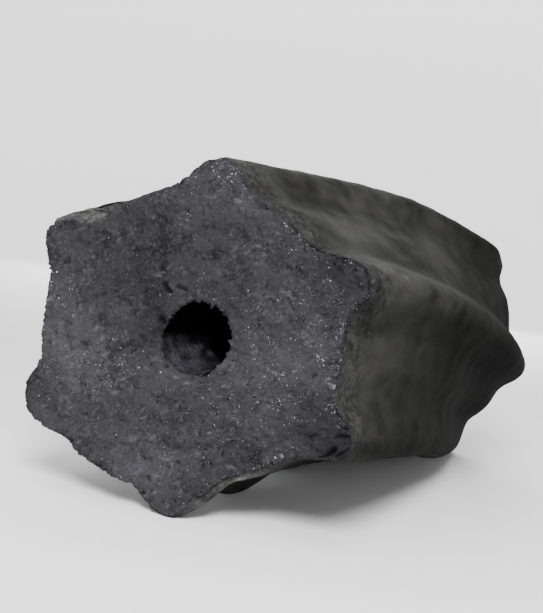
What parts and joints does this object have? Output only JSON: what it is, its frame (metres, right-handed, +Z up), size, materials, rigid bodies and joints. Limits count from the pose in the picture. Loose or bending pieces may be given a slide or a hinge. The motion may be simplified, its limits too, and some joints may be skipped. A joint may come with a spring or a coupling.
{
  "type": "charcoal briquette",
  "caption": "Hexagonal pressed charcoal log with twisted ribs, a draught hole along its axis and one broken end face, lying on its side.",
  "frame": {"origin": "on the table under the middle of the box, at the height of the worn flats that it rests on", "axes": "+Y along the log from the broken face to the far end, +Z up, +X to the right when facing the broken face"},
  "size_m": [0.0484, 0.0958, 0.0444],
  "materials": {
    "charcoal": "matt charred surface with fine bright grains on the broken face"
  },
  "bodies": {
    "root": {"briquette": "charcoal"}
  },
  "joints": []
}
